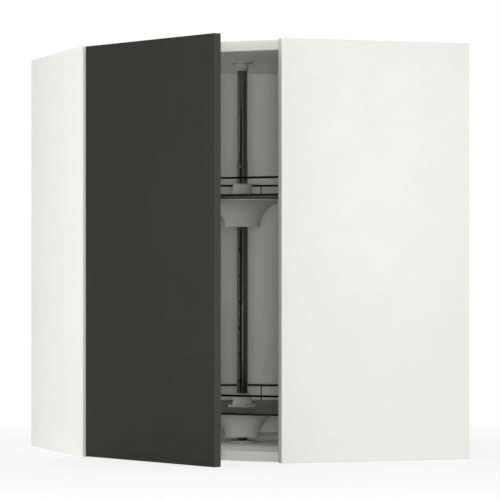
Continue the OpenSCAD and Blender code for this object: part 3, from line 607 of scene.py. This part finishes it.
def from_post(x, y, z):
    local = Vector((x, y, z)) * MM
    local.rotate(Euler((0, 0, math.radians(FRONT_TURN))))
    return (local + Vector((-POST_IN, -POST_IN, 0)) * MM) / MM


# %% [markdown]
# ## The post
# A 22 mm steel tube stands on the floor plate, and a slimmer tube slides in it up to the ceiling
# bracket, so that the post fits cabinets of several heights. A row of holes takes the pins that
# carry the trays, and a clamp screw holds the two tubes together. Each tube is a turned ring whose
# ends are eased, drilled straight through.

# %% Post tubes
POST_R = 11
POST_WALL = 0.9
INNER_R = 10
POST_FOOT = 23
POST_JOINT = 584
POST_TOP = 777
OVERLAP = 140
HOLE_PITCH = 52.4
HOLE_D = 5.2
HOLES = 10
FIRST_HOLE = 38
CLAMP_AT = 571
SCREW_HOLE_D = 4.2
DRILL_REACH = 20

for name, node, radius, low, high in (
        ("lower_tube", "lower_post_tube", POST_R, POST_FOOT, POST_JOINT),
        ("upper_tube", "upper_post_tube", INNER_R, POST_JOINT - OVERLAP, POST_TOP)):
    tube = turned(name, [(radius - POST_WALL, low), (radius, low), (radius, high),
        (radius - POST_WALL, high)], rounded=0.3)
    heights = [z for z in (FIRST_HOLE + i * HOLE_PITCH for i in range(HOLES)) if low < z < high]
    drills = [rod(from_post(-DRILL_REACH, 0, z), from_post(DRILL_REACH, 0, z), HOLE_D) for z in heights]
    drills.append(rod(from_post(0, 0, CLAMP_AT), from_post(DRILL_REACH, 0, CLAMP_AT), SCREW_HOLE_D))
    cut(tube, drills)
    deliver(tube, "cabinet", "black_steel", black_chrome, node)
softened("clamp_screw", "post_clamp_screw", SCREW_BEVEL, "cabinet", "zinc", zinc)

# %% [markdown]
# ## Ceiling bracket, lock ring and floor plate
# The post is held at the top in a socket with a round flange, above a ring that locks it, and at
# the bottom on a plate with a spigot inside the tube. All three are moulded in light grey plastic,
# so their rims are well rounded, and a small bevel eases the corner between socket and flange.

# %% Post brackets
CEILING = CABINET_H - BOARD
BRACKET_HOLE_R = 17.5
BORE_R = 10.1
SOCKET_R = 12
SOCKET_FOOT = 767
SOCKET_BEVEL = 1.4
FLANGE_R = 23.5
FLANGE_FOOT = 777.5
LOCK_LOW = SOCKET_FOOT - 4.2
LOCK_HIGH = SOCKET_FOOT - 0.8
PLATE_R = 25.5
PLATE_HOLE_R = 2
PLATE_T = 4
SPIGOT_R = 10
SPIGOT_TOP = 13
BRACKET_SCREWS = 3


def drill_flange(piece, low, high):
    drills = []
    for i in range(BRACKET_SCREWS):
        angle = math.radians((i + 0.5) * 360 / BRACKET_SCREWS)
        x, y = BRACKET_HOLE_R * math.cos(angle), BRACKET_HOLE_R * math.sin(angle)
        drills.append(rod(from_post(x, y, low), from_post(x, y, high), SCREW_HOLE_D, sides=24))
    cut(piece, drills)


bracket = turned("ceiling_socket", [(BORE_R, SOCKET_FOOT), (SOCKET_R, SOCKET_FOOT),
    (SOCKET_R, FLANGE_FOOT - SOCKET_BEVEL), (SOCKET_R + SOCKET_BEVEL, FLANGE_FOOT),
    (FLANGE_R, FLANGE_FOOT), (FLANGE_R, CEILING), (BORE_R, CEILING)], rounded=0.5)
drill_flange(bracket, FLANGE_FOOT - PAST, CEILING + PAST)
deliver(bracket, "cabinet", "bracket_grey", bracket_plastic, "ceiling_bracket")
lock_ring = turned("post_lock_ring", [(BORE_R, LOCK_LOW), (SOCKET_R, LOCK_LOW), (SOCKET_R, LOCK_HIGH),
    (BORE_R, LOCK_HIGH)], rounded=0.5)
deliver(lock_ring, "cabinet", "bracket_grey", collar_plastic, "ceiling_lock_ring")
plate = turned("post_floor_plate", [(PLATE_HOLE_R, BOARD), (PLATE_R, BOARD), (PLATE_R, BOARD + PLATE_T),
    (SPIGOT_R, BOARD + PLATE_T), (SPIGOT_R, BOARD + SPIGOT_TOP), (PLATE_HOLE_R, BOARD + SPIGOT_TOP)],
    rounded=0.6)
drill_flange(plate, BOARD - PAST, BOARD + PLATE_T + 2 * PAST)
deliver(plate, "cabinet", "bracket_grey", bracket_plastic, "floor_plate")
softened("post_bracket_screws", "bracket_screws", SCREW_BEVEL, "cabinet", "zinc", zinc)
softened("carousel_pins", "tray_support_pins", 0.3, "cabinet", "zinc", zinc)
softened("bearing_washers", "tray_bearing_rings", 0.2, "cabinet", "acetal", acetal)

# %% [markdown]
# ## The trays
# A tray is moulded in one piece: a thin round plate with one straight side, stiffened by an edge
# that turns down all round. The outline's points are worked out from its radii, a circle primitive
# with as many corners is laid on them, and the disc is extruded, its underside inset and pushed up,
# its edges rounded, and its holes drilled last: one for the hub, and one for each wire post of the
# rail. A low ring under the plate stands on the hub's rim.

# %% Tray outline
TRAY_R = 302
TRAY_FRONT = 229
TRAY_CORNER = 25
TRAY_T = 2.6
TRAY_EDGE_H = 4.2
TRAY_EDGE_W = 3
TRAY_ROUND = 0.6
RAIL_INSET = 25.5
RAIL_R = TRAY_R - RAIL_INSET
RAIL_FRONT = TRAY_FRONT - RAIL_INSET
RAIL_BEND = 21
ROUND_POSTS = 8
ROUND_POST_STEP = 34.8
FRONT_POSTS_AT = (-40, 40)
RING_R = 95
RING_W = 6
RING_H = 3
LONG_STEPS = 168
CORNER_STEPS = 12


def arc_points(cx, cy, radius, start, end, steps):
    return [(cx + radius * math.cos(a), cy + radius * math.sin(a))
        for a in (start + i * (end - start) / steps for i in range(steps + 1))]


def bend_of(radius, front, corner):
    cx = front - corner
    cy = math.sqrt((radius - corner) ** 2 - cx ** 2)
    return cx, cy, math.atan2(cy, cx)


def straight_sided_disc(radius, front, corner):
    cx, cy, bend = bend_of(radius, front, corner)
    return (arc_points(cx, cy, corner, 0, bend, CORNER_STEPS)
        + arc_points(0, 0, radius, bend, 2 * math.pi - bend, LONG_STEPS)[1:-1]
        + arc_points(cx, -cy, corner, -bend, 0, CORNER_STEPS))


def wire_post_places():
    around = [math.radians(180 + (i - (ROUND_POSTS - 1) / 2) * ROUND_POST_STEP)
        for i in range(ROUND_POSTS)]
    return ([(RAIL_R * math.cos(a), RAIL_R * math.sin(a)) for a in around]
        + [(RAIL_FRONT, y) for y in FRONT_POSTS_AT])


print("corners of the outline:", len(straight_sided_disc(TRAY_R, TRAY_FRONT, TRAY_CORNER)),
    "wire posts:", len(wire_post_places()))

# %% Trays
DRILL_LOW = -9
DRILL_HIGH = 5
HUB_HOLE_D = 23.2
WIRE_HOLE_D = 2.2
LOOKS_DOWN = -0.9


def tray(name, node, body, top):
    points = straight_sided_disc(TRAY_R, TRAY_FRONT, TRAY_CORNER)
    deselect()
    bpy.ops.mesh.primitive_circle_add(vertices=len(points), radius=TRAY_R * MM, fill_type="NGON")
    plate = settle(name)
    for vertex, (x, y) in zip(plate.data.vertices, points):
        vertex.co = (x * MM, y * MM, -TRAY_EDGE_H * MM)
    pick(plate, edit=True)
    bpy.ops.mesh.extrude_region_move(TRANSFORM_OT_translate={"value": (0, 0, TRAY_EDGE_H * MM)})
    bpy.ops.mesh.select_all(action="SELECT")
    bpy.ops.mesh.normals_make_consistent(inside=False)
    bpy.ops.mesh.select_all(action="DESELECT")
    bpy.ops.mesh.select_mode(type="FACE")
    mesh = bmesh.from_edit_mesh(plate.data)
    for face in mesh.faces:
        face.select = face.normal.z < LOOKS_DOWN
    bmesh.update_edit_mesh(plate.data)
    bpy.ops.mesh.inset(thickness=TRAY_EDGE_W * MM)
    bpy.ops.transform.translate(value=(0, 0, (TRAY_EDGE_H - TRAY_T) * MM))
    round_edges(plate, TRAY_ROUND, steps=3)
    at_post(plate, top)
    holes = [(0, 0, HUB_HOLE_D, SIDES)] + [(x, y, WIRE_HOLE_D, 16) for x, y in wire_post_places()]
    drills = [rod(from_post(x, y, top + DRILL_LOW), from_post(x, y, top + DRILL_HIGH), wide, sides)
        for x, y, wide, sides in holes]
    cut(plate, drills)
    return deliver(plate, body, "tray_grey", tray_plastic, node)


def standing_ring(name, node, body, top):
    ring = turned(name, [(RING_R - RING_W, -TRAY_T - RING_H), (RING_R, -TRAY_T - RING_H),
        (RING_R, -TRAY_T), (RING_R - RING_W, -TRAY_T)], top, rounded=0.3)
    return deliver(ring, body, "tray_grey", ring_plastic, node)


LEVELS = (("lower", "lower_carousel", 90), ("upper", "upper_carousel", 509.2))
for level, body, top in LEVELS:
    tray(f"{level}_tray_plate", f"{level}_tray", body, top)
    standing_ring(f"{level}_tray_ring", f"{level}_tray", body, top)

# %% [markdown]
# ## The rails
# The rail round each tray is one closed wire, and it is made as a wire bender makes it: its round
# section is pulled along the straight front, spun round the first bend, round the long arc and
# round the second bend, and joined to its own start. With no window open, spin turns clockwise for
# a positive angle, so the angles are negative. The wire posts under it stand in the tray's holes
# and are welded to it, and the weld leaves a small flared bead. Each post is a turned piece, moved
# from the axis to its place, and all posts of a tray are joined.

# %% Rails and wire posts
WIRE_D = 4
WIRE_SIDES = 16
RAIL_H = 32
BEND_STEPS = 20
LONG_ARC_STEPS = 200
ENDS_WITHIN = 0.02
POST_WIRE_D = 2
POST_TIP_R = 0.05
WELD_BELOW = 1.6
BEAD = ((0, 1.2), (0.25, 0.5), (0.6, 0))


def rail(name, node, body, height):
    cx, cy, bend = bend_of(RAIL_R, RAIL_FRONT, RAIL_BEND)
    deselect()
    bpy.ops.mesh.primitive_circle_add(vertices=WIRE_SIDES, radius=WIRE_D / 2 * MM,
        location=(RAIL_FRONT * MM, -cy * MM, 0), rotation=(math.radians(90), 0, 0))
    wire = settle(name)
    pick(wire, edit=True)
    bpy.ops.mesh.extrude_region_move(TRANSFORM_OT_translate={"value": (0, 2 * cy * MM, 0)})
    for x, y, angle, steps in ((cx, cy, bend, BEND_STEPS), (0, 0, 2 * (math.pi - bend), LONG_ARC_STEPS),
            (cx, -cy, bend, BEND_STEPS)):
        bpy.ops.mesh.spin(steps=steps, angle=-angle, center=(x * MM, y * MM, 0), axis=(0, 0, 1))
    bpy.ops.mesh.select_all(action="SELECT")
    bpy.ops.mesh.remove_doubles(threshold=ENDS_WITHIN * MM)
    at_post(wire, height)
    return deliver(wire, body, "black_wire", black_powder, node)


def wire_posts(name, node, body, top):
    r, high = POST_WIRE_D / 2, TRAY_T + RAIL_H - WELD_BELOW
    outline = [(POST_TIP_R, 0), (r, 0), *((r + out, high - down) for out, down in BEAD),
        (POST_TIP_R, high)]
    posts = []
    for x, y in wire_post_places():
        post = turned("post", outline, sides=WIRE_SIDES)
        post.location = (from_post(x, y, top - TRAY_T) - from_post(0, 0, 0)) * MM
        posts.append(settle("post", post))
    deselect()
    for post in posts:
        post.select_set(True)
    bpy.context.view_layer.objects.active = posts[0]
    bpy.ops.object.join()
    return deliver(settle(name, posts[0]), body, "black_wire", black_powder, node)


for level, body, top in LEVELS:
    rail(f"{level}_rail_wire", f"{level}_rail", body, top + RAIL_H)
    wire_posts(f"{level}_wire_posts", f"{level}_rail_posts", body, top)

# %% [markdown]
# ## Hubs and collars
# Under each tray a light grey hub spreads like a trumpet, so that a thin tray carries the weight of
# tins and pans. It is moulded hollow, with a floor that runs on the bearing ring, a sleeve on the
# post and a flat rim with a slip ring round it. The slip ring is painted white: a painted highlight
# for the line of light along the rim. On top of the tray a collar takes the screws: its thin flange
# sweeps up into a plain round body. All are turned from their outlines. The trumpet flares in a
# quarter of an ellipse, and its curve gets many rings, so that it shades smoothly. The inside of its
# wall follows the same curve, a wall's thickness further in.

# %% Sizes of hubs and collars
HUB_DROP = 59.5
HUB_TOP = HUB_DROP - TRAY_T
FOOT_R = 34.8
RIM_R = 93
RIM_W = 4
RIM_T = 1.8
SLIP_R = 95.4
TRUMPET_H = HUB_TOP - RING_H - RIM_T
RIM_TOP = TRUMPET_H + RIM_T
OUTSIDE_ROWS = 32
INSIDE_ROWS = 20
FOOT_ROWS = 6
HUB_WALL = 2.5
HUB_FLOOR = 13.6
HUB_PLATE = 3
HUB_BORE_R = 11.08
SLEEVE_R = 15
COLLAR_R = 28.7
FLANGE_RIM_T = 2.8
FLANGE_SLOPE = 1.4
FLANGE_T = 4.8
BODY_R = 18.9
FILLET = 7.5
NECK_AT = 24.5
NECK_R = 14.4
COLLAR_H = 27.2
print("hub's height in mm:", round(HUB_TOP, 1), "collar's:", COLLAR_H)

# %% Hubs and collars
def trumpet(inward, height):
    angle = math.asin(height / (TRUMPET_H + inward))
    return (RIM_R - (RIM_R - FOOT_R + inward) * math.cos(angle), height)


def rows(low, high, count):
    return [low + (high - low) * i / count for i in range(count + 1)]


def hub(name, node, body, top):
    outside = [trumpet(0, TRUMPET_H * math.sin(a)) for a in rows(0, math.pi / 2, OUTSIDE_ROWS)]
    inside_high = [trumpet(HUB_WALL, h) for h in rows(RIM_TOP, HUB_FLOOR + HUB_PLATE, INSIDE_ROWS)]
    inside_low = [trumpet(HUB_WALL, h) for h in rows(HUB_FLOOR, 0, FOOT_ROWS)]
    outline = ([(HUB_BORE_R, HUB_FLOOR)] + inside_low + outside
        + [(SLIP_R, TRUMPET_H), (SLIP_R, RIM_TOP)] + inside_high
        + [(SLEEVE_R, HUB_FLOOR + HUB_PLATE), (SLEEVE_R, HUB_TOP - HUB_PLATE),
            (COLLAR_R, HUB_TOP - HUB_PLATE), (COLLAR_R, HUB_TOP), (HUB_BORE_R, HUB_TOP)])
    trumpet_shell = turned(name, outline, top - HUB_DROP, rounded=0.4)
    return deliver(trumpet_shell, body, "hub_grey", hub_plastic, node)


def slip_ring(name, node, body, top):
    ring = turned(name, [(SLIP_R, TRUMPET_H), (RIM_R + RIM_W, TRUMPET_H), (RIM_R + RIM_W, RIM_TOP),
        (SLIP_R, RIM_TOP)], top - HUB_DROP, rounded=0.25)
    return deliver(ring, body, "hub_grey", painted_highlight_white_plastic, node)


def collar(name, node, body, top):
    fillet = arc_points(BODY_R + FILLET, FLANGE_T + FILLET, FILLET, 1.5 * math.pi, math.pi, 8)
    outline = [(HUB_BORE_R, 0), (COLLAR_R, 0), (COLLAR_R, FLANGE_RIM_T),
        (COLLAR_R - FLANGE_SLOPE, FLANGE_T), *fillet, (BODY_R, NECK_AT), (NECK_R, COLLAR_H),
        (HUB_BORE_R, COLLAR_H)]
    steps = turned(name, outline, top, rounded=0.9, steps=3)
    return deliver(steps, body, "collar_grey", collar_plastic, node)


for level, body, top in LEVELS:
    hub(f"{level}_trumpet_hub", f"{level}_hub", body, top)
    slip_ring(f"{level}_slip_ring", f"{level}_hub", body, top)
    collar(f"{level}_stepped_collar", f"{level}_collar", body, top)
    softened(f"{level}_collar_screws", f"{level}_hub_screws", SCREW_BEVEL, body, "zinc", zinc)

# %% [markdown]
# ## Pins, dowels and bumpers
# What is left has the right shape already and only needs its finish: steel pins, the beech dowels
# and cam bolts inside the boards, and the door's small rubber bumpers.

# %% Finishes of the remaining nodes
for node, finish in (("hinge_arm_pins", nickel), ("hinge_middle_pins", nickel),
        ("hinge_cup_pins", nickel), ("wood_dowels", beech), ("cam_bolts", zinc),
        ("door_bumpers", clear_rubber)):
    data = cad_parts[node].data
    data.materials.clear()
    data.materials.append(finish)
    print(node, "is finished in", finish.name)

# %% [markdown]
# ## The floor
# The cabinet stands on the floor of a white studio. The floor is a plain plane that belongs to the
# stage and not to the cabinet. The camera sees it as pure white further out, and near the cabinet
# it lets a part of its own shading through, which keeps a soft shadow.

# %% Floor
WHITE = (1, 1, 1, 1)
MIDDLE = Vector((-0.34, -0.34, 0.4))
FADE_FROM = 0.5
FADE_TO = 1.3
WHITE_BELOW_CABINET = 0.82

deselect()
bpy.ops.mesh.primitive_plane_add(size=12, location=(0, 0, -0.0005))
floor = settle("studio_floor")
floor_material = bpy.data.materials.new("white_studio_floor")
floor_material.use_nodes = True
tree = floor_material.node_tree
paint = tree.nodes["Principled BSDF"]
paint.inputs["Base Color"].default_value = colour("#f4f4f4")
paint.inputs["Roughness"].default_value = 0.9
paint.inputs["Specular IOR Level"].default_value = 0
light_path = add(tree, "ShaderNodeLightPath")
white = add(tree, "ShaderNodeEmission", {"Color": WHITE, "Strength": 1})
spot = add(tree, "ShaderNodeTexCoord").outputs["Object"]
far = add(tree, "ShaderNodeVectorMath", {0: spot, 1: (MIDDLE.x, MIDDLE.y, 0)}, operation="DISTANCE")
fade = add(tree, "ShaderNodeMapRange", {"Value": far.outputs["Value"], "From Min": FADE_FROM,
    "From Max": FADE_TO, "To Min": WHITE_BELOW_CABINET, "To Max": 1})
share = add(tree, "ShaderNodeMath", {0: light_path.outputs["Is Camera Ray"], 1: fade.outputs["Result"]},
    operation="MULTIPLY")
seen = add(tree, "ShaderNodeMixShader", {"Fac": share.outputs[0], 1: paint.outputs[0],
    2: white.outputs[0]})
tree.links.new(seen.outputs[0], tree.nodes["Material Output"].inputs["Surface"])
floor.data.materials.append(floor_material)
print("floor in m:", [round(size, 1) for size in floor.dimensions[:2]])

# %% [markdown]
# ## The sky
# An even white sky lights the cabinet softly from all sides. The camera sees it as pure white, also
# through clear plastic. Gloss mirrors it darker than it shines, because the post would otherwise
# show the opening as a bright line down its middle.

# %% Sky
SKY_STRENGTH = 0.55
MIRRORED_SKY_STRENGTH = 0.25
world = bpy.data.worlds.new("white_studio")
bpy.context.scene.world = world
world.use_nodes = True
tree = world.node_tree
sky = tree.nodes["Background"]
sky.inputs["Color"].default_value = WHITE
plain = add(tree, "ShaderNodeBackground", {"Color": WHITE, "Strength": 1})
light_path = add(tree, "ShaderNodeLightPath")
strength = add(tree, "ShaderNodeMath", {0: light_path.outputs["Is Glossy Ray"],
    1: MIRRORED_SKY_STRENGTH - SKY_STRENGTH, 2: SKY_STRENGTH}, operation="MULTIPLY_ADD")
tree.links.new(strength.outputs[0], sky.inputs["Strength"])
seen_sky = add(tree, "ShaderNodeMath", {0: light_path.outputs["Is Camera Ray"],
    1: light_path.outputs["Is Transmission Ray"]}, operation="MAXIMUM")
both = add(tree, "ShaderNodeMixShader", {"Fac": seen_sky.outputs[0], 1: sky.outputs[0],
    2: plain.outputs[0]})
tree.links.new(both.outputs[0], tree.nodes["World Output"].inputs["Surface"])
print("sky:", SKY_STRENGTH, "mirrored:", MIRRORED_SKY_STRENGTH)

# %% [markdown]
# ## The lamps
# A large lamp stands on each side, and a small one at the camera, whose shadows fall where the
# camera doesn't see them. It alone reaches the back wall through the opening, so the inside is a
# calm grey while the outside is white. Three weak lamps stand inside: one by the left side board,
# which models the hubs from light to dark, and two under the lower tray, parallel to the diagonal
# front. The lamps at the camera and by the side board aren't mirrored, because each would draw a
# white line down the post.

# %% Lamps
UNDER_TRAY = 0.084
ALONG_FRONT = math.radians(-45)
NOT_MIRRORED = ("front_lamp", "gap_lamp")

for name, place, aim, size, power in (
        ("left_lamp", Vector((-5.2, -0.2, 0.9)), MIDDLE, (1.7, 1.7), 84),
        ("front_lamp", Vector((-2.2, -5.6, 0.36)), MIDDLE, (0.5, 0.5), 64),
        ("right_lamp", Vector((1.6, -5.4, 1.2)), MIDDLE, (1.6, 1.6), 54),
        ("gap_lamp", Vector((-0.655, -0.2, 0.4)), Vector((0, -0.2, 0.4)), (0.3, 0.74), 0.66),
        ("low_front_lamp", Vector((-0.459, -0.459, UNDER_TRAY)), None, (0.36, 0.12), 0.06),
        ("low_rear_lamp", Vector((-0.226, -0.226, UNDER_TRAY)), None, (0.36, 0.12), 0.022)):
    lamp = bpy.data.objects.new(name, bpy.data.lights.new(name, "AREA"))
    bpy.context.scene.collection.objects.link(lamp)
    lamp.data.shape = "RECTANGLE"
    lamp.data.size, lamp.data.size_y = size
    lamp.data.energy = power
    lamp.location = place
    lamp.rotation_euler = ((aim - place).to_track_quat("-Z", "Y").to_euler() if aim
        else (0, 0, ALONG_FRONT))
    lamp.visible_camera = False
    lamp.visible_glossy = name not in NOT_MIRRORED
    print(f"{name}: {power} W")

bpy.context.scene.view_settings.view_transform = "Standard"
